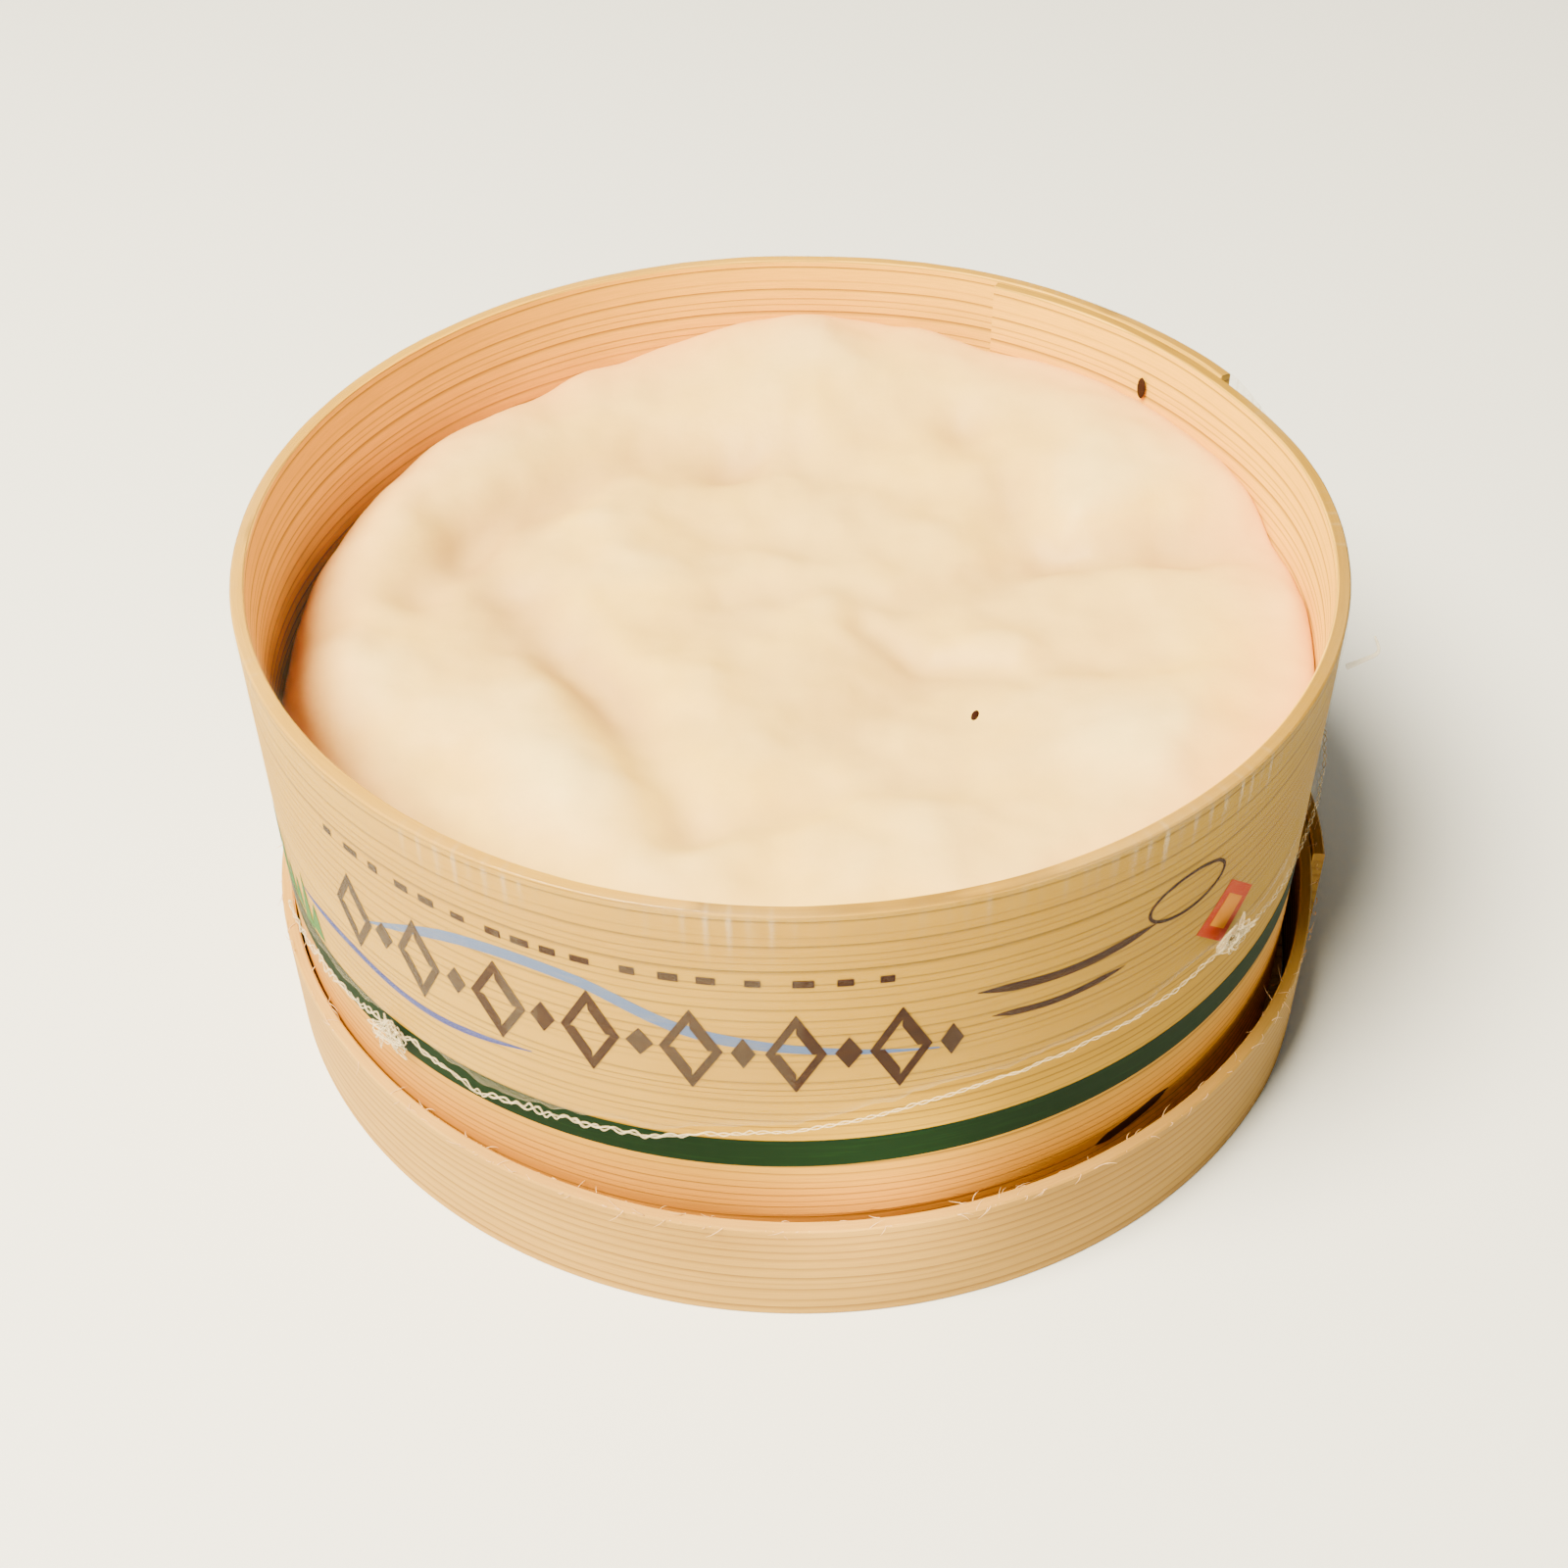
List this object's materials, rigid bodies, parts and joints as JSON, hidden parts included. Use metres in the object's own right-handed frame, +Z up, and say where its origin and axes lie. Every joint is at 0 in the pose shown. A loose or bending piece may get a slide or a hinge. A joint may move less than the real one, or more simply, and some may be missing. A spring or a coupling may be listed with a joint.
{
  "type": "boxed soft cheese",
  "caption": "Round soft cheese in its bent spruce box, the box standing in its own lid, with clear film drawn over the mouth.",
  "frame": {"origin": "middle of the underside of the lid, on the surface that the box stands on", "axes": "+Z up through the cheese, -Y towards the printed front, +X to the viewer's right"},
  "size_m": [0.147, 0.146, 0.0673],
  "materials": {
    "spruce": "planed spruce veneer",
    "lid_spruce": "paler planed spruce veneer",
    "rind": "soft creamy rind",
    "clear_film": "thin clear shrink film"
  },
  "bodies": {
    "root": {"lid_disc": "lid_spruce", "lid_hoop": "lid_spruce", "box_base": "spruce", "box_hoop": "spruce", "cheese": "rind", "film": "clear_film"}
  },
  "joints": []
}
